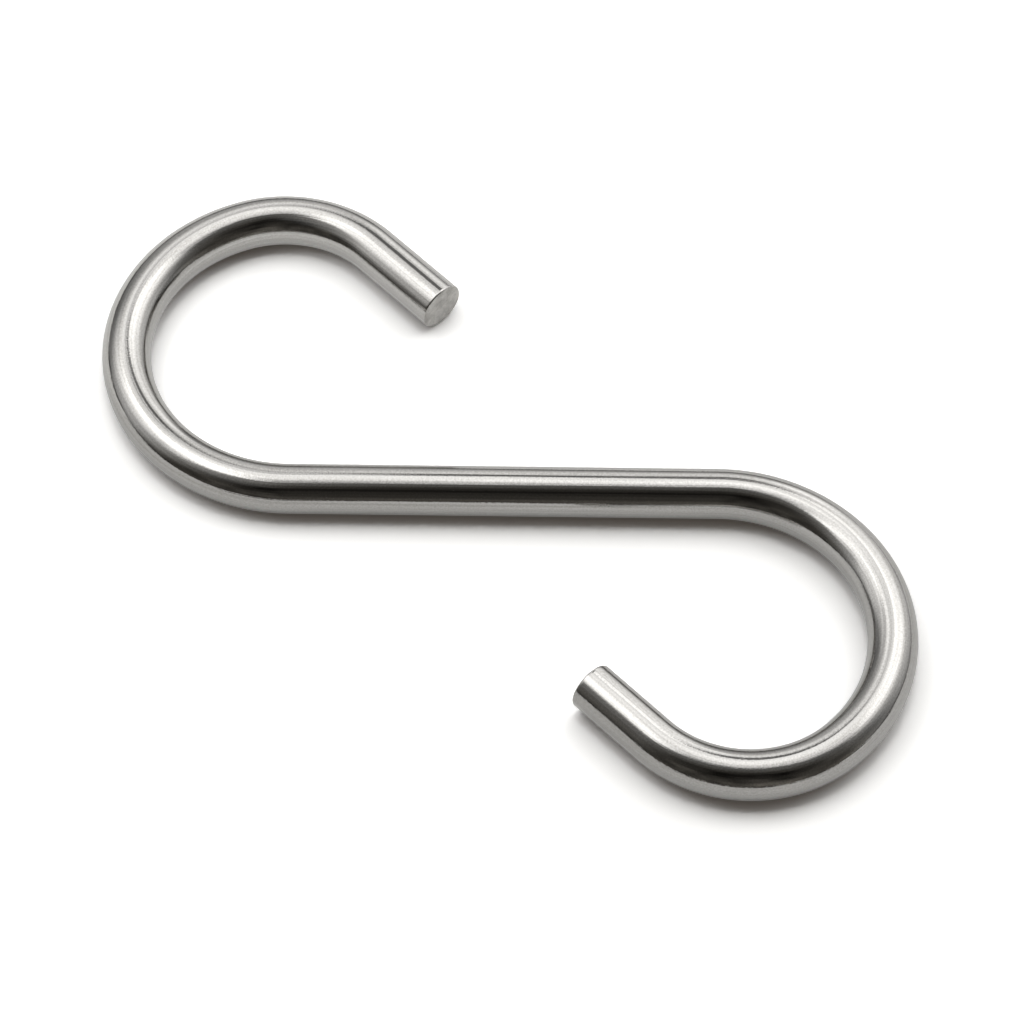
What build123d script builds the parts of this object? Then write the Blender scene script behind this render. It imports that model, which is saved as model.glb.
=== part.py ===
"""S hook bent cold from one length of round bar, lying flat.

The shank runs along X. The left hook curls up towards +Y and the right hook down towards -Y, so the pair makes an S.
The bar lies on the plane Z = 0, and the origin is in the middle of the hook's outline, below the bar. Millimetres.
"""

import os
from math import cos, radians

from build123d import *

# Bar stock
bar_dia = 6.0
edge_break = 0.2

# Bends, along the bar's centre line: a wide one off the shank, then a tighter one into the tip
shank_len = 51.5
wide_bend_radius = 20.5
tight_bend_radius = 15.6

# Both hooks turn as far from the shank to the tip, but change over to the tighter radius at their own place (degrees)
hook_turn = 225.3
left_wide_turn = 160.0
right_wide_turn = 136.6

# Straight tips, past the bends
left_tip_len = 12.0
right_tip_len = 10.5


def hook_rise(wide_turn):
    """Distance from the shank's centre line to the far side of a hook's centre line."""
    turned = cos(radians(wide_turn))
    return wide_bend_radius * (1 - turned) + tight_bend_radius * (1 + turned)


def bend_hook(start, heading, wide_turn, tip_len):
    """Bend one hook clockwise off the shank: wide bend, tight bend and straight tip."""
    wide_bend = JernArc(start, heading, wide_bend_radius, -wide_turn)
    tight_bend = JernArc(wide_bend @ 1, wide_bend % 1, tight_bend_radius, wide_turn - hook_turn)
    Line(tight_bend @ 1, tight_bend @ 1 + tip_len * (tight_bend % 1))


# The shank lies off the middle by half the difference between the two hooks
shank_y = (hook_rise(right_wide_turn) - hook_rise(left_wide_turn)) / 2

with BuildPart() as s_hook:
    with BuildLine(Plane.XY.offset(bar_dia / 2)) as centre_line:
        shank = Line((shank_len / 2, shank_y), (-shank_len / 2, shank_y))
        bend_hook(shank @ 1, shank % 1, left_wide_turn, left_tip_len)
        bend_hook(shank @ 0, -(shank % 0), right_wide_turn, right_tip_len)
    path = centre_line.wire()
    with BuildSketch(Plane(origin=path @ 0, z_dir=path % 0)):
        Circle(bar_dia / 2)
    sweep(path=path)

    # The two sawn ends have their sharp edges rounded off
    cut_ends = s_hook.faces().filter_by(GeomType.PLANE)
    fillet(cut_ends.edges(), radius=edge_break)

s_hook.part.label = "s_hook"

os.makedirs("parts", exist_ok=True)
export_step(s_hook.part, "parts/s_hook.step")
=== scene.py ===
"""Looks of the s hook: one round stainless bar, bent into an S and lying on a white floor.

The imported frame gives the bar's box. The bar is modelled again with a finer skin, one run or bend after the
other, as a bender makes it, and every vertex keeps the place it had on the straight bar, so that the draw
lines follow the bends. Sizes are in millimetres and degrees, and a finished mesh is scaled to the frame's
metres.
"""

import logging
from dataclasses import dataclass
from enum import Enum
from math import atan2, ceil, cos, hypot, pi, radians, sin, tau

import bmesh
import bpy
from bmesh.types import BMesh, BMEdge, BMVert
from bpy.types import Material, Node, NodeSocket, NodeTree
from mathutils import Matrix, Vector


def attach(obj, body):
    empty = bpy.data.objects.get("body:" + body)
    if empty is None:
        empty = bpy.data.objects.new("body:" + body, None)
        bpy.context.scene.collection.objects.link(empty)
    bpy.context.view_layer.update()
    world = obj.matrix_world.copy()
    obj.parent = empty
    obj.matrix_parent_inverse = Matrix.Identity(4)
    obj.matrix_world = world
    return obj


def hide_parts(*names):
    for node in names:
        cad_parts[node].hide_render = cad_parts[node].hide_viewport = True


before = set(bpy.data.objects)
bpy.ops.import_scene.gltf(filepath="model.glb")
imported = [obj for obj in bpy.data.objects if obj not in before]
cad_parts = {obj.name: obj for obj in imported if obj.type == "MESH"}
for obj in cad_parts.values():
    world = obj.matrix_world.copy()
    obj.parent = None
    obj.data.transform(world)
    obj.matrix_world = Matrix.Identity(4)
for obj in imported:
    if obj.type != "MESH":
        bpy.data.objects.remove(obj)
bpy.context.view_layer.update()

MM = 0.001
UP = Vector((0.0, 0.0, 1.0))
log = logging.getLogger("s_hook")

Rgba = tuple[float, float, float, float]
Span = tuple[float, float]
WHOLE: Span = (0.0, 1.0)


class BarPlace(Enum):
    """What the bar's vertices keep of the straight bar, by the name of the mesh attribute."""

    STRAIGHT = "straight_bar"
    STRAIN = "bend_strain"


class Slot(Enum):
    """The bar's material slots."""

    SKIN = 0
    CUT = 1


class Ramp(Enum):
    """How a value goes from one end of a range to the other, by Blender's name."""

    EVEN = "LINEAR"
    EASED = "SMOOTHSTEP"


class Sense(Enum):
    """Which way a hook is made off the shank: its sense along the bar."""

    LEFT = -1
    RIGHT = 1


def linear(colour: str) -> Rgba:
    """Turn an sRGB hex colour into linear RGBA.

    Args:
        colour: The colour as "#rrggbb".

    Returns:
        Linear red, green and blue, and an alpha of 1.
    """
    channels = [int(colour[at : at + 2], 16) / 255 for at in (1, 3, 5)]
    # The sRGB curve is straight near black and a power above that
    red, green, blue = [c / 12.92 if c <= 0.04045 else ((c + 0.055) / 1.055) ** 2.4 for c in channels]
    return red, green, blue, 1.0


def add_node(tree: NodeTree, kind: str, inputs: dict | None = None, **settings: object) -> Node:
    """Add one node with its settings, values and links.

    Args:
        tree: The node tree that gets the node.
        kind: The node's type, without Blender's "ShaderNode" in front.
        inputs: A value, or an output to link, for each input socket, by name or by number.
        settings: The node's own properties.

    Returns:
        The new node.
    """
    node = tree.nodes.new("ShaderNode" + kind)
    for name, setting in settings.items():
        setattr(node, name, setting)
    for socket, given in (inputs or {}).items():
        if isinstance(given, NodeSocket):
            tree.links.new(given, node.inputs[socket])
        else:
            node.inputs[socket].default_value = given
    return node


def spread(
    tree: NodeTree,
    given: NodeSocket,
    span: Span = WHOLE,
    into: Span = WHOLE,
    ramp: Ramp = Ramp.EVEN,
) -> NodeSocket:
    """Map one range of values onto another. Values beyond the ends stay at the ends.

    Args:
        tree: The node tree that gets the node.
        given: The output with the values.
        span: The two ends of their range.
        into: The values that the ends become.
        ramp: How the values between go from one end to the other.

    Returns:
        The output with the new values.
    """
    ends = {"From Min": span[0], "From Max": span[1], "To Min": into[0], "To Max": into[1]}
    return add_node(tree, "MapRange", {"Value": given, **ends}, interpolation_type=ramp.value).outputs[0]


def add_noise(
    tree: NodeTree,
    place: NodeSocket,
    size: float,
    detail: float = 2.0,
    roughness: float = 0.5,
) -> NodeSocket:
    """Add cloudy noise.

    Args:
        tree: The node tree that gets the node.
        place: The output with the place in the noise.
        size: How large its clouds are, in the unit of the place.
        detail: How many finer layers it has.
        roughness: How strong the finer layers are.

    Returns:
        The output with the noise, between 0 and 1.
    """
    looks = {"Vector": place, "Scale": 1 / size, "Detail": detail, "Roughness": roughness}
    return add_node(tree, "TexNoise", looks).outputs["Fac"]


def mix_tones(tree: NodeTree, share: NodeSocket, first: Rgba, second: Rgba) -> NodeSocket:
    """Blend two colours.

    Args:
        tree: The node tree that gets the node.
        share: The output with the share of the second colour.
        first: The first colour, linear.
        second: The second colour, linear.

    Returns:
        The output with the blend.
    """
    tones = {"Factor": share, "A": first, "B": second}
    return add_node(tree, "Mix", tones, data_type="RGBA").outputs["Result"]


def bare_metal(tree: NodeTree, tone: NodeSocket, roughness: NodeSocket, normal: NodeSocket) -> None:
    """Finish a material as uncoated metal.

    Args:
        tree: The material's node tree.
        tone: The output with the metal's colour.
        roughness: The output with its roughness.
        normal: The output with its bumped normal.
    """
    looks = {"Base Color": tone, "Metallic": 1.0, "Roughness": roughness, "Normal": normal}
    metal = add_node(tree, "BsdfPrincipled", looks)
    add_node(tree, "OutputMaterial", {"Surface": metal.outputs[0]})


def new_material(name: str) -> Material:
    """Make an empty node material.

    Args:
        name: The material's name.

    Returns:
        The material, without any node.
    """
    material = bpy.data.materials.new(name)
    material.use_nodes = True
    material.node_tree.nodes.clear()
    return material


def add_object(bm: BMesh, name: str, *materials: Material) -> bpy.types.Object:
    """Turn a bmesh into an object of the scene, and free it.

    Args:
        bm: The mesh, in metres.
        name: The name of the object and of its mesh.
        materials: Its materials, in the order of their slots.

    Returns:
        The object, at the origin.
    """
    mesh = bpy.data.meshes.new(name)
    bm.to_mesh(mesh)
    bm.free()
    for material in materials:
        mesh.materials.append(material)
    thing = bpy.data.objects.new(name, mesh)
    bpy.context.scene.collection.objects.link(thing)
    return thing


@dataclass(frozen=True)
class DrawnStainless:
    """Bright drawn stainless steel: a hard mirror, with fine lines along the bar from the die.

    The mirror shows the lamps as clean bands. The draw lines streak the bands lengthwise. The skin is a
    little grainy too, slightly more so on the bends, because cold bending roughens it in step with its
    stretch.

    Attributes:
        colour: The steel's colour.
        streak_colour: Its colour where lines and grain are darkest.
        line_width: How wide the draw lines are.
        line_length: How long they are.
        line_depth: How deep they are.
        line_detail: How many finer lines there are within them.
        line_roughness: How strong the finer lines are.
        line_span: Where their noise starts to show in the tone, and where it shows fully.
        grain_size: How large the grains are.
        grain_detail: How many finer grains there are within them.
        grain_depth: How deep the grain is on a straight run.
        bent_grain_depth: How deep it is where the skin was stretched by full_strain.
        full_strain: That stretch.
        grain_span: Where the grain's noise starts to show in the tone, and where it shows fully.
        grain_share: The grain's share of the tone, beside the lines.
        roughness: The roughness between the lines and on them.
    """

    colour: str = "#cbc9c6"
    streak_colour: str = "#9f9d99"
    line_width: float = 0.55
    line_length: float = 90.0
    line_depth: float = 0.020
    line_detail: float = 3.0
    line_roughness: float = 0.65
    line_span: Span = (0.32, 0.68)
    grain_size: float = 0.20
    grain_detail: float = 1.5
    grain_depth: float = 0.005
    bent_grain_depth: float = 0.006
    full_strain: float = 0.2
    grain_span: Span = (0.25, 0.75)
    grain_share: float = 0.45
    roughness: Span = (0.04, 0.10)

    def material(self) -> Material:
        """Build the material.

        Returns:
            The bar's material.
        """
        material = new_material("drawn_stainless_steel")
        tree = material.node_tree
        bar = add_node(tree, "Attribute", attribute_name=BarPlace.STRAIGHT.value).outputs["Vector"]
        strain = add_node(tree, "Attribute", attribute_name=BarPlace.STRAIN.value).outputs["Fac"]

        across, along = 1 / self.line_width, 1 / self.line_length
        stretched = add_node(tree, "Mapping", {"Vector": bar, "Scale": (across, across, along)}).outputs[0]
        lines = add_noise(tree, stretched, size=1.0, detail=self.line_detail, roughness=self.line_roughness)
        grain = add_noise(tree, bar, self.grain_size, self.grain_detail)
        streaks = spread(tree, lines, self.line_span)
        speckle = spread(tree, grain, self.grain_span)

        depths = (self.grain_depth * MM, self.bent_grain_depth * MM)
        depth = spread(tree, strain, (0.0, self.full_strain), depths)
        ground = add_node(tree, "Bump", {"Height": lines, "Distance": self.line_depth * MM}).outputs[0]
        skin = add_node(tree, "Bump", {"Height": grain, "Distance": depth, "Normal": ground}).outputs[0]
        blend = add_node(tree, "Mix", {"Factor": self.grain_share, "A": streaks, "B": speckle})
        tone = mix_tones(tree, blend.outputs["Result"], linear(self.colour), linear(self.streak_colour))
        bare_metal(tree, tone, spread(tree, streaks, into=self.roughness), skin)
        return material


@dataclass(frozen=True)
class SawnEnd:
    """The same steel where the bar was sawn off: flat, dull and grey, with fine saw marks and darker smudges.

    Attributes:
        colour: The cut's colour.
        smudge_colour: The colour of the smudges.
        smudge_size: How large the smudges are.
        smudge_detail: How many finer smudges there are within them.
        smudge_roughness: How strong the finer smudges are.
        smudge_span: Where their noise starts to show, and where it shows fully.
        mark_width: How wide the saw marks are.
        mark_length: How long they are.
        mark_depth: How deep they are.
        roughness: The roughness between the marks and on them.
    """

    colour: str = "#c6c4c0"
    smudge_colour: str = "#a09d99"
    smudge_size: float = 1.6
    smudge_detail: float = 6.0
    smudge_roughness: float = 0.75
    smudge_span: Span = (0.4, 0.62)
    mark_width: float = 0.25
    mark_length: float = 3.0
    mark_depth: float = 0.005
    roughness: Span = (0.38, 0.52)

    def material(self) -> Material:
        """Build the material.

        Returns:
            The material of the bar's two end faces.
        """
        material = new_material("sawn_stainless_steel")
        tree = material.node_tree
        bar = add_node(tree, "Attribute", attribute_name=BarPlace.STRAIGHT.value).outputs["Vector"]
        scale = (1 / self.mark_length, 1 / self.mark_width, 1.0)
        along_cut = add_node(tree, "Mapping", {"Vector": bar, "Scale": scale}).outputs[0]
        marks = add_noise(tree, along_cut, size=1.0)
        patches = add_noise(tree, bar, self.smudge_size, self.smudge_detail, self.smudge_roughness)
        smudges = spread(tree, patches, self.smudge_span)
        tone = mix_tones(tree, smudges, linear(self.colour), linear(self.smudge_colour))
        cut = add_node(tree, "Bump", {"Height": marks, "Distance": self.mark_depth * MM}).outputs[0]
        bare_metal(tree, tone, spread(tree, marks, into=self.roughness), cut)
        return material


@dataclass(frozen=True)
class WhiteCard:
    """Matt white card under the hook: bright and even, with clumps of fibres too faint to see. It glows with
    painted fill light.

    Attributes:
        name: The material's name.
        bleach: How many times as bright as plain card it is, above 1 where the picture is overexposed.
        glow: How bright its painted fill light is, in the hook's shadow too, in front of the shank and behind
            it.
        painted_fill_colour: The colour of that light.
        painted_fill_turn: Where that changes, as the depth behind the hook's middle.
        colour: The card's colour.
        fibre_colour: The colour of its fibres.
        fibre_size: How large the clumps of fibres are.
    """

    name: str
    bleach: float
    glow: Span
    painted_fill_colour: str
    painted_fill_turn: Span = (10.0, 27.0)
    colour: str = "#f4f4f3"
    fibre_colour: str = "#f1f1f0"
    fibre_size: float = 0.5

    def bleached(self, colour: str) -> Rgba:
        """Scale one of the card's colours by the bleach, which may make it brighter than white."""
        red, green, blue, alpha = (channel * self.bleach for channel in linear(colour))
        return red, green, blue, alpha

    def material(self) -> Material:
        """Build the material.

        Returns:
            The floor's material.
        """
        material = new_material(self.name)
        tree = material.node_tree
        place = add_node(tree, "TexCoord").outputs["Object"]
        fibres = add_noise(tree, place, self.fibre_size * MM)
        tone = mix_tones(tree, fibres, self.bleached(self.colour), self.bleached(self.fibre_colour))
        card = add_node(tree, "BsdfDiffuse", {"Color": tone})
        depth = add_node(tree, "SeparateXYZ", {"Vector": place}).outputs["Y"]
        turn = (self.painted_fill_turn[0] * MM, self.painted_fill_turn[1] * MM)
        glow = spread(tree, depth, turn, self.glow, Ramp.EASED)
        # The emission is painted fill light: on the seen card it stands in for light that the bar and room
        # throw into the hook's shadow, and on the mirrored card it lifts the mirrored shadow and brightens
        # the card behind the shank
        painted_fill = add_node(tree, "Emission", {"Color": linear(self.painted_fill_colour), "Strength": glow})
        both = add_node(tree, "AddShader", {0: card.outputs[0], 1: painted_fill.outputs[0]})
        add_node(tree, "OutputMaterial", {"Surface": both.outputs[0]})
        return material


@dataclass
class WorkingEnd:
    """The end of the bar that is being made longer: its ring of edges, and where it is on the bar.

    Attributes:
        ring: The open ring of edges.
        point: The centre of the ring.
        heading: The way the bar goes on from there.
        station: How far along the straight bar the ring is.
        sense: Whether stations grow or fall from there on.
    """

    ring: list[BMEdge]
    point: Vector
    heading: Vector
    station: float
    sense: Sense


@dataclass
class BentBar:
    """The whole hook: a round bar with a straight shank, and at each end a wide bend, a tight bend and a tip.

    Attributes:
        bar_dia: The bar's diameter.
        edge_break: The radius of the rounded edges at the sawn ends.
        shank_len: The length of the straight shank.
        wide_bend_radius: The radius of the bends off the shank, at the centre line.
        tight_bend_radius: The radius of the bends before the tips, at the centre line.
        hook_turn: How far each hook turns in all.
        left_wide_turn: How far the left hook turns before it changes over to the tighter radius.
        right_wide_turn: The same for the right hook.
        left_tip_len: The length of the left hook's straight tip.
        right_tip_len: The length of the right hook's.
        ring_sides: How many sides the skin has around the bar.
        run_step: How long a step of the skin may be on a straight run.
        last_run: How long the last step before a sawn end is.
        bend_step: How far a step of the skin may turn on a bend.
        edge_segments: How many steps a rounded edge has.
        edge_profile: The shape of a rounded edge, where 0.5 is round.
        skin: The finish of the bar.
        cut: The finish of its sawn ends.
    """

    bar_dia: float = 6.0
    edge_break: float = 0.2
    shank_len: float = 51.5
    wide_bend_radius: float = 20.5
    tight_bend_radius: float = 15.6
    hook_turn: float = 225.3
    left_wide_turn: float = 160.0
    right_wide_turn: float = 136.6
    left_tip_len: float = 12.0
    right_tip_len: float = 10.5
    ring_sides: int = 128
    run_step: float = 1.5
    last_run: float = 0.4
    bend_step: float = 2.0
    edge_segments: int = 4
    edge_profile: float = 0.5
    skin: DrawnStainless = DrawnStainless()
    cut: SawnEnd = SawnEnd()

    def hook_rise(self, wide_turn: float) -> float:
        """Work out how far a hook's centre line reaches from the shank's.

        Args:
            wide_turn: How far the hook turns before it changes over to the tighter radius.

        Returns:
            The reach, across the shank.
        """
        turned = cos(radians(wide_turn))
        return self.wide_bend_radius * (1 - turned) + self.tight_bend_radius * (1 + turned)

    def note_place(self, bm: BMesh, vert: BMVert, side: float, station: float, strain: float) -> None:
        """Keep on a vertex where it was on the straight bar, and how far bending stretched it there.

        Args:
            bm: The bar.
            vert: The vertex.
            side: Its distance to the side of the centre line.
            station: Its distance along the bar.
            strain: The stretch, without its sign.
        """
        layers = bm.verts.layers
        height = vert.co.z - self.bar_dia / 2
        vert[layers.float_vector[BarPlace.STRAIGHT.value]] = (side, height, station)
        vert[layers.float[BarPlace.STRAIN.value]] = strain

    def note_run(self, bm: BMesh, end: WorkingEnd, verts: list[BMVert]) -> None:
        """Keep the places of vertices on a straight run.

        Args:
            bm: The bar.
            end: The end that the run starts from.
            verts: The run's vertices.
        """
        left = UP.cross(end.heading)
        for vert in verts:
            offset = vert.co - end.point
            station = end.station + end.sense.value * offset.dot(end.heading)
            self.note_place(bm, vert, end.sense.value * offset.dot(left), station, 0.0)

    def sweep(
        self,
        bm: BMesh,
        end: WorkingEnd,
        steps: int,
        centre: Vector,
        angle: float,
        stride: Vector,
    ) -> list[BMVert]:
        """Carry the ring of a working end along, with a skin behind it.

        Args:
            bm: The bar.
            end: The end, whose ring becomes the last one.
            steps: How many rings are added.
            centre: The centre of the bend.
            angle: The clockwise angle of the bend, in radians, or 0 for a straight run.
            stride: How far each ring moves on in a straight run.

        Returns:
            The new vertices.
        """
        before = set(bm.verts)
        ring_verts = list({vert for edge in end.ring for vert in edge.verts})
        swept = bmesh.ops.spin(
            bm,
            geom=ring_verts + end.ring,
            cent=centre,
            axis=-UP,
            dvec=stride,
            angle=angle,
            steps=steps,
            use_merge=False,
        )
        end.ring = [part for part in swept["geom_last"] if isinstance(part, BMEdge)]
        return [vert for vert in bm.verts if vert not in before]

    def run(self, bm: BMesh, end: WorkingEnd, length: float) -> None:
        """Make the bar longer by a straight run.

        Args:
            bm: The bar.
            end: The end that is made longer.
            length: The run's length.
        """
        steps = ceil(length / self.run_step)
        fresh = self.sweep(bm, end, steps, end.point, 0.0, end.heading * (length / steps))
        self.note_run(bm, end, fresh)
        end.point = end.point + end.heading * length
        end.station += end.sense.value * length

    def bend(self, bm: BMesh, end: WorkingEnd, radius: float, turn: float) -> None:
        """Make the bar longer by a clockwise bend.

        Args:
            bm: The bar.
            end: The end that is made longer.
            radius: The bend's radius, at the centre line.
            turn: How far it turns.
        """
        centre = end.point + end.heading.cross(UP) * radius
        spoke = end.point - centre
        fresh = self.sweep(bm, end, ceil(turn / self.bend_step), centre, radians(turn), Vector())
        for vert in fresh:
            arm = vert.co - centre
            turned = (atan2(spoke.y, spoke.x) - atan2(arm.y, arm.x)) % tau
            side = hypot(arm.x, arm.y) - radius
            station = end.station + end.sense.value * radius * turned
            self.note_place(bm, vert, end.sense.value * side, station, abs(side) / radius)
        swing = Matrix.Rotation(-radians(turn), 3, UP)
        end.point = centre + swing @ spoke
        end.heading = swing @ end.heading
        end.station += end.sense.value * radius * radians(turn)

    def saw_off(self, bm: BMesh, end: WorkingEnd) -> None:
        """Close the bar with a flat face, and take the sharp edge off it.

        Args:
            bm: The bar.
            end: The end that is closed.
        """
        before = set(bm.verts)
        bmesh.ops.edgeloop_fill(bm, edges=end.ring, mat_nr=Slot.CUT.value)
        bmesh.ops.bevel(
            bm,
            geom=end.ring,
            offset=self.edge_break,
            offset_type="OFFSET",
            segments=self.edge_segments,
            profile=self.edge_profile,
            affect="EDGES",
            material=-1,
        )
        self.note_run(bm, end, [vert for vert in bm.verts if vert not in before])
        log.info("end face at %s", tuple(round(c, 2) for c in end.point))

    def hook(self, bm: BMesh, end: WorkingEnd, wide_turn: float, tip_len: float) -> None:
        """Make one hook: wide bend, tight bend, tip and sawn end.

        Args:
            bm: The bar.
            end: The end of the shank that the hook starts from.
            wide_turn: How far it turns before it changes over to the tighter radius.
            tip_len: The length of the straight tip.
        """
        self.bend(bm, end, self.wide_bend_radius, wide_turn)
        self.bend(bm, end, self.tight_bend_radius, self.hook_turn - wide_turn)
        # The short last run keeps the skin straight as far as the edge
        self.run(bm, end, tip_len - self.last_run)
        self.run(bm, end, self.last_run)
        self.saw_off(bm, end)

    def build(self) -> bpy.types.Object:
        """Build the bar's mesh and dress it.

        Returns:
            The bar, riding on the frame in place of its CAD node.
        """
        bm = bmesh.new()
        bm.verts.layers.float_vector.new(BarPlace.STRAIGHT.value)
        bm.verts.layers.float.new(BarPlace.STRAIN.value)
        shank_y = (self.hook_rise(self.right_wide_turn) - self.hook_rise(self.left_wide_turn)) / 2
        start = Vector((-self.shank_len / 2, shank_y, self.bar_dia / 2))
        upright = Matrix.Translation(start) @ Matrix.Rotation(pi / 2, 4, "Y")
        bmesh.ops.create_circle(bm, radius=self.bar_dia / 2, segments=self.ring_sides, matrix=upright)
        ring = list(bm.edges)

        right = WorkingEnd(ring, start, Vector((1.0, 0.0, 0.0)), -self.shank_len / 2, Sense.RIGHT)
        left = WorkingEnd(ring, start, Vector((-1.0, 0.0, 0.0)), -self.shank_len / 2, Sense.LEFT)
        self.note_run(bm, right, list(bm.verts))
        self.run(bm, right, self.shank_len)
        self.hook(bm, right, self.right_wide_turn, self.right_tip_len)
        self.hook(bm, left, self.left_wide_turn, self.left_tip_len)

        bmesh.ops.recalc_face_normals(bm, faces=bm.faces)
        for face in bm.faces:
            face.smooth = face.material_index == Slot.SKIN.value
        bmesh.ops.scale(bm, vec=Vector((MM, MM, MM)), verts=bm.verts)
        bar = add_object(bm, "bent_bar", self.skin.material(), self.cut.material())
        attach(bar, "root")
        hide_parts("s_hook")
        return bar


@dataclass
class Floor:
    """The floor that the hook lies on: a wide round card, level with the underside of the bar.

    The card in the picture is bleached white, while the one that the steel mirrors is greyer. So there are
    two cards, one that the camera sees and one, just below, that only the mirrored rays see.

    Attributes:
        radius: The cards' radius.
        sides: How many sides their round outline has.
        drop: How far the mirrored card is below the seen one.
        seen: The finish of the card that the camera sees.
        mirrored: The finish of the card that the steel mirrors.
    """

    radius: float = 1600.0
    sides: int = 96
    drop: float = 0.02
    # Both cards glow with painted fill light: the seen one faintly and warm, which lifts the hook's shadow,
    # the mirrored one more, and more behind the shank
    seen: WhiteCard = WhiteCard("bleached_card", 1.64, (0.040, 0.040), "#ffe8d6")
    mirrored: WhiteCard = WhiteCard("mirrored_card", 0.58, (0.28, 0.43), "#f4f4f3")

    def card(self, finish: WhiteCard, level: float) -> bpy.types.Object:
        """Build one card.

        Args:
            finish: The card's finish.
            level: Its height.

        Returns:
            The card.
        """
        bm = bmesh.new()
        bmesh.ops.create_circle(bm, cap_ends=True, radius=self.radius, segments=self.sides)
        bmesh.ops.translate(bm, vec=UP * level, verts=bm.verts)
        bmesh.ops.scale(bm, vec=Vector((MM, MM, MM)), verts=bm.verts)
        card = add_object(bm, finish.name, finish.material())
        return card

    def build(self) -> None:
        """Build both cards."""
        upper = self.card(self.seen, 0.0)
        upper.visible_glossy = upper.visible_diffuse = upper.visible_shadow = False
        lower = self.card(self.mirrored, -self.drop)
        lower.visible_camera = lower.visible_diffuse = lower.visible_shadow = False


@dataclass(frozen=True)
class Aim:
    """Where a lamp or net hangs. It faces the middle of the hook.

    Attributes:
        azimuth: Its direction over the floor, from behind the hook towards the right.
        elevation: Its direction above the floor.
        distance: Its distance from the hook.
        roll: How far it is turned about its aim.
    """

    azimuth: float
    elevation: float
    distance: float
    roll: float

    def place(self) -> Matrix:
        """Work out the place that this gives.

        Returns:
            The place, in metres, with Z pointing away from the hook.
        """
        az, el = radians(self.azimuth), radians(self.elevation)
        outward = Vector((sin(az) * cos(el), cos(az) * cos(el), sin(el)))
        aim = outward.to_track_quat("Z", "Y").to_matrix().to_4x4()
        turn = Matrix.Rotation(-radians(self.roll), 4, "Z")
        return Matrix.Translation(outward * self.distance * MM) @ aim @ turn


@dataclass(frozen=True)
class Softbox:
    """One soft lamp that is aimed at the middle of the hook and fades towards its edges.

    Attributes:
        name: The lamp's name.
        aim: Where it hangs.
        width: Its width.
        height: Its height.
        radiance: How bright its middle would be without soft edges.
        soft: The share of its width or height over which the left, right, bottom and top edge fade.
        rise: How much its brightness changes from bottom to top, as a share of the radiance.
        mirrored: Whether the steel mirrors it.
    """

    name: str
    aim: Aim
    width: float
    height: float
    radiance: float
    soft: tuple[float, float, float, float]
    rise: float = 0.0
    mirrored: bool = True

    def build(self) -> bpy.types.Object:
        """Build the lamp and hang it.

        Returns:
            The lamp.
        """
        lamp = bpy.data.lights.new(self.name, "AREA")
        lamp.shape = "RECTANGLE"
        lamp.size, lamp.size_y = self.width * MM, self.height * MM
        lamp.energy = pi * lamp.size * lamp.size_y * self.radiance
        lamp.use_nodes = True
        tree = lamp.node_tree
        tree.nodes.clear()
        place = add_node(tree, "NewGeometry").outputs["Parametric"]
        split = add_node(tree, "SeparateXYZ", {"Vector": place})
        across, up = split.outputs["X"], split.outputs["Y"]
        # Seen from the hook, the lamp's own X runs to the left
        left, right, bottom, top = self.soft
        edges = ((across, 1.0, 1.0 - left), (across, 0.0, right), (up, 0.0, bottom), (up, 1.0, 1.0 - top))
        glow = spread(tree, up, into=(1 - self.rise / 2, 1 + self.rise / 2))
        for along, rim, full in edges:
            fade = spread(tree, along, (rim, full), ramp=Ramp.EASED)
            glow = add_node(tree, "Math", {0: glow, 1: fade}, operation="MULTIPLY").outputs[0]
        emission = add_node(tree, "Emission", {"Strength": glow})
        add_node(tree, "OutputLight", {"Surface": emission.outputs[0]})

        box = bpy.data.objects.new(self.name, lamp)
        box.matrix_world = self.aim.place()
        box.visible_camera = False
        box.visible_glossy = self.mirrored
        bpy.context.scene.collection.objects.link(box)
        return box


@dataclass(frozen=True)
class Flag:
    """A black net that hangs in front of the lamps, so that the steel mirrors a dark line there.

    Attributes:
        name: The net's name.
        aim: Where it hangs.
        length: Its length.
        breadth: Its breadth in the middle.
        sides: How many sides its rounded outline has.
        colour: The colour of its threads.
        holes: The share of the light that passes, where the weave is close and where it is open.
        weave_size: How large the close and open places are.
    """

    name: str
    aim: Aim
    length: float
    breadth: float
    sides: int = 48
    colour: str = "#0a0a0a"
    holes: Span = (0.12, 0.36)
    weave_size: float = 15.0

    def material(self) -> Material:
        """Build the material.

        Returns:
            The net's material, black threads with holes between them.
        """
        material = new_material(self.name + "_cloth")
        tree = material.node_tree
        place = add_node(tree, "TexCoord").outputs["Object"]
        weave = add_noise(tree, place, self.weave_size * MM)
        passed = spread(tree, weave, into=self.holes)
        threads = add_node(tree, "BsdfDiffuse", {"Color": linear(self.colour)})
        gaps = add_node(tree, "BsdfTransparent")
        net = add_node(tree, "MixShader", {0: passed, 1: threads.outputs[0], 2: gaps.outputs[0]})
        add_node(tree, "OutputMaterial", {"Surface": net.outputs[0]})
        return material

    def build(self) -> bpy.types.Object:
        """Build the net and hang it.

        Returns:
            The net.
        """
        bm = bmesh.new()
        # A circle that is 1 across is stretched to the net's outline
        bmesh.ops.create_circle(bm, cap_ends=True, radius=1 / 2, segments=self.sides)
        bmesh.ops.scale(bm, vec=Vector((self.length * MM, self.breadth * MM, 1.0)), verts=bm.verts)
        bmesh.ops.transform(bm, matrix=self.aim.place(), verts=bm.verts)
        flag = add_object(bm, self.name, self.material())
        flag.visible_camera = False
        return flag


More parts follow.
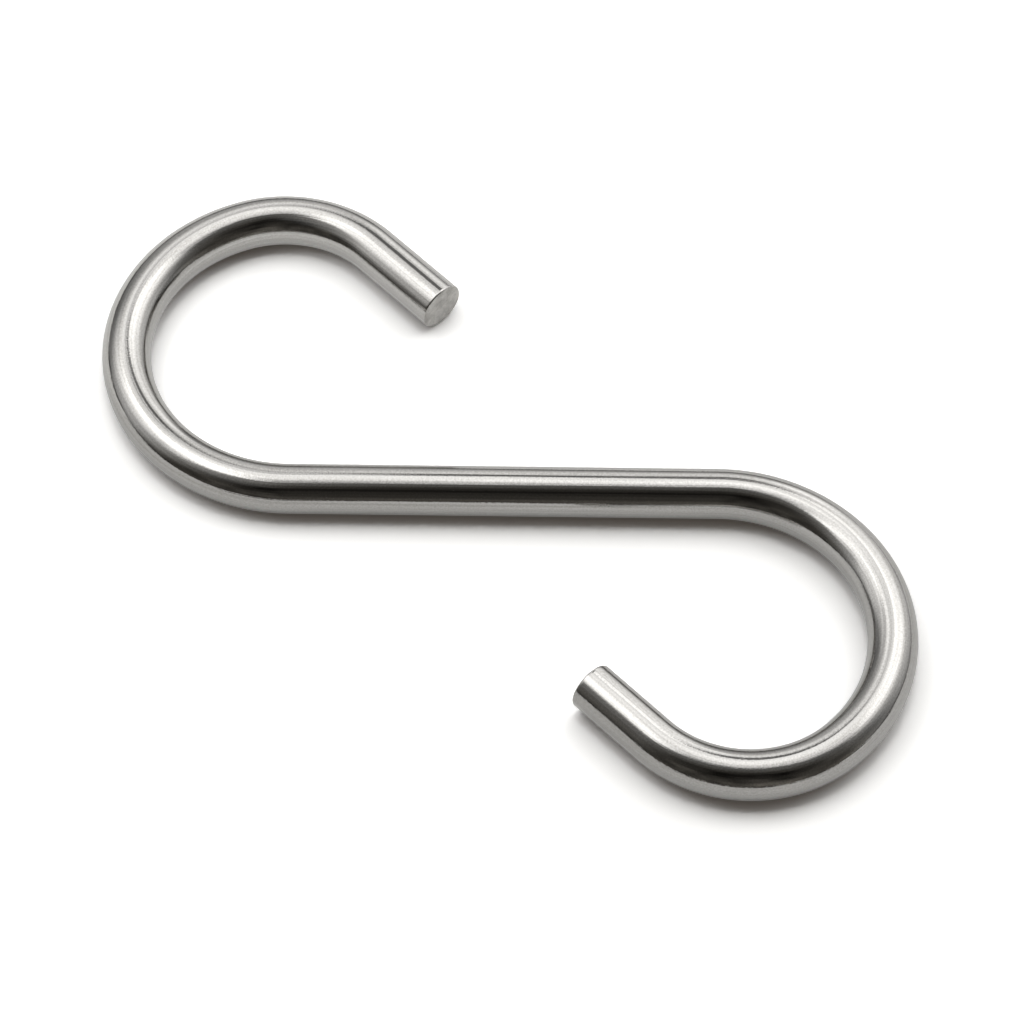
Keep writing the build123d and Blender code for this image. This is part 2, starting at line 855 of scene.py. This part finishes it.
@dataclass(frozen=True)
class DimRoom:
    """The room around the lamps: dark in front of the hook, darkest high up near the camera, and grey behind.

    Attributes:
        low: How bright it is in front, near the floor.
        high: How bright it is in front, overhead.
        top: How high a direction of length 1 goes where that is reached.
        back: How much brighter it is behind.
        turn_over: Where along the view it changes, as the depth of a direction of length 1.
        skirt: How high a direction of length 1 goes where the dark gap under the back ends, and where the
            back is full.
        mottle: How far the room's dark things differ.
        mottle_size: How large they are, as a length on the unit sphere.
        mottle_detail: How many finer things there are within them.
        mottle_span: Where their noise is darkest, and where it is brightest.
        tones: Its tone in front and behind.
    """

    low: float = 0.098
    high: float = 0.025
    top: float = 0.75
    back: float = 0.18
    turn_over: Span = (-0.61, 0.02)
    skirt: Span = (0.06, 0.13)
    mottle: float = 0.95
    mottle_size: float = 0.35
    mottle_detail: float = 3.0
    mottle_span: Span = (0.3, 0.7)
    tones: tuple[str, str] = ("#fff8ec", "#ffffff")

    def build(self) -> bpy.types.World:
        """Build the world.

        Returns:
            The world, which the scene then has.
        """
        world = bpy.data.worlds.new("dim_room")
        world.use_nodes = True
        tree = world.node_tree
        tree.nodes.clear()
        way = add_node(tree, "TexCoord").outputs["Generated"]
        split = add_node(tree, "SeparateXYZ", {"Vector": way})
        depth, height = split.outputs["Y"], split.outputs["Z"]
        front = spread(tree, height, (0.0, self.top), (self.low, self.high), Ramp.EASED)
        clutter = add_noise(tree, way, self.mottle_size, self.mottle_detail)
        patches = spread(tree, clutter, self.mottle_span, (1 - self.mottle, 1 + self.mottle))
        things = add_node(tree, "Math", {0: front, 1: patches}, operation="MULTIPLY").outputs[0]
        behind = spread(tree, depth, self.turn_over, ramp=Ramp.EASED)
        wall = spread(tree, height, self.skirt, (0.0, self.back), Ramp.EASED)
        glow = add_node(tree, "Math", {0: behind, 1: wall, 2: things}, operation="MULTIPLY_ADD").outputs[0]
        tone = mix_tones(tree, behind, linear(self.tones[0]), linear(self.tones[1]))
        room = add_node(tree, "Background", {"Color": tone, "Strength": glow})
        add_node(tree, "OutputWorld", {"Surface": room.outputs[0]})
        bpy.context.scene.world = world
        return world


@dataclass(frozen=True)
class ProductCamera:
    """The camera, looking down on the hook from the front.

    Its place and lens were fitted, together with the hook's shape, to the bar's outline in the picture.

    Attributes:
        elevation: Its height above the floor, as an angle.
        azimuth: How far it stands to the right of the front.
        distance: Its distance from its target.
        target: The point it looks at.
        focal_px: Its focal length, in pixels of the image.
        image_px: The image's width, in pixels.
        sensor: The sensor's width.
        clip: How near and how far it sees.
    """

    elevation: float = 55.226
    azimuth: float = 0.848
    distance: float = 650.0
    target: tuple[float, float, float] = (1.147, -3.542, 3.0)
    focal_px: float = 5433.57
    image_px: int = 1024
    sensor: float = 36.0
    clip: Span = (10.0, 20000.0)

    def build(self) -> bpy.types.Object:
        """Build the camera and give it to the scene.

        Returns:
            The camera.
        """
        lens = bpy.data.cameras.new("product_camera")
        lens.sensor_width = self.sensor
        lens.lens = self.focal_px / self.image_px * self.sensor
        lens.clip_start, lens.clip_end = self.clip[0] * MM, self.clip[1] * MM
        camera = bpy.data.objects.new("product_camera", lens)
        az, el = radians(self.azimuth), radians(self.elevation)
        back = Vector((sin(az) * cos(el), -cos(az) * cos(el), sin(el)))
        camera.location = (Vector(self.target) + back * self.distance) * MM
        camera.rotation_euler = (-back).to_track_quat("-Z", "Y").to_euler()
        bpy.context.scene.collection.objects.link(camera)
        bpy.context.scene.camera = camera
        return camera


@dataclass(frozen=True)
class Studio:
    """Light and camera around the hook: soft lamps above, behind and to the left, two nets and a dim room.

    Most numbers of the room and of the mirrored lamps come from a program's fit to the brightness of the bar
    in the picture, and are rounded.
    """

    room: DimRoom = DimRoom()
    camera: ProductCamera = ProductCamera()
    flags: tuple[Flag, ...] = (
        Flag("broad_flag", Aim(4.5, 47.3, 1100, roll=-46.0), length=285, breadth=165),
        Flag("slim_flag", Aim(15.5, 43.2, 1100, roll=-4.0), length=240, breadth=52),
    )
    lamps: tuple[Softbox, ...] = (
        Softbox(
            "overhead_bank",
            Aim(30.2, 62.5, 1575, roll=-36.6),
            width=3600,
            height=1696,
            radiance=2.66,
            soft=(0.42, 0.63, 0.85, 0.03),
            rise=-1.83,
        ),
        Softbox(
            "back_wall",
            Aim(-20.9, 27.3, 1600, roll=-30.3),
            width=2904,
            height=1672,
            radiance=0.72,
            soft=(0.17, 0.38, 0.80, 0.22),
            rise=2.0,
        ),
        Softbox(
            "left_box",
            Aim(-73.0, 55.2, 405, roll=-17.8),
            width=314,
            height=410,
            radiance=2.10,
            soft=(0.16, 0.45, 0.85, 0.45),
            rise=0.87,
        ),
        Softbox(
            "right_back_box",
            Aim(53.1, 25.5, 843, roll=-5.2),
            width=1526,
            height=1358,
            radiance=1.58,
            soft=(0.19, 0.78, 0.74, 0.09),
            rise=-0.84,
        ),
        Softbox(
            "left_back_box",
            Aim(-63.8, 34.8, 227, roll=-24.7),
            width=206,
            height=160,
            radiance=0.42,
            soft=(0.20, 0.36, 0.35, 0.18),
            rise=0.87,
        ),
        Softbox(
            "side_card",
            Aim(-91.4, 43.4, 110, roll=31.2),
            width=136,
            height=238,
            radiance=0.66,
            soft=(0.70, 0.49, 0.38, 0.75),
            rise=-0.83,
        ),
        Softbox(
            "top_key",
            Aim(0.0, 86.0, 1200, roll=0.0),
            width=320,
            height=320,
            radiance=9.0,
            soft=(0.3, 0.3, 0.3, 0.3),
            mirrored=False,
        ),
    )

    def build(self) -> None:
        """Build the room, the nets, the lamps and the camera, and set how the picture is shown."""
        self.room.build()
        for flag in self.flags:
            log.info("net %s", flag.build().name)
        for lamp in self.lamps:
            log.info("lamp %s", lamp.build().name)
        self.camera.build()
        bpy.context.scene.view_settings.view_transform = "Standard"
        # Light that the bar throws on the card would fill the shadow, which is dark close to the bar
        bpy.context.scene.cycles.caustics_reflective = False


def main() -> None:
    """Build the hook, the floor and the studio."""
    logging.basicConfig(level=logging.INFO, format="%(name)s: %(message)s")
    bar = BentBar().build()
    log.info("piece %s: %d faces", bar.name, len(bar.data.polygons))
    Floor().build()
    Studio().build()


if __name__ == "__main__":
    main()
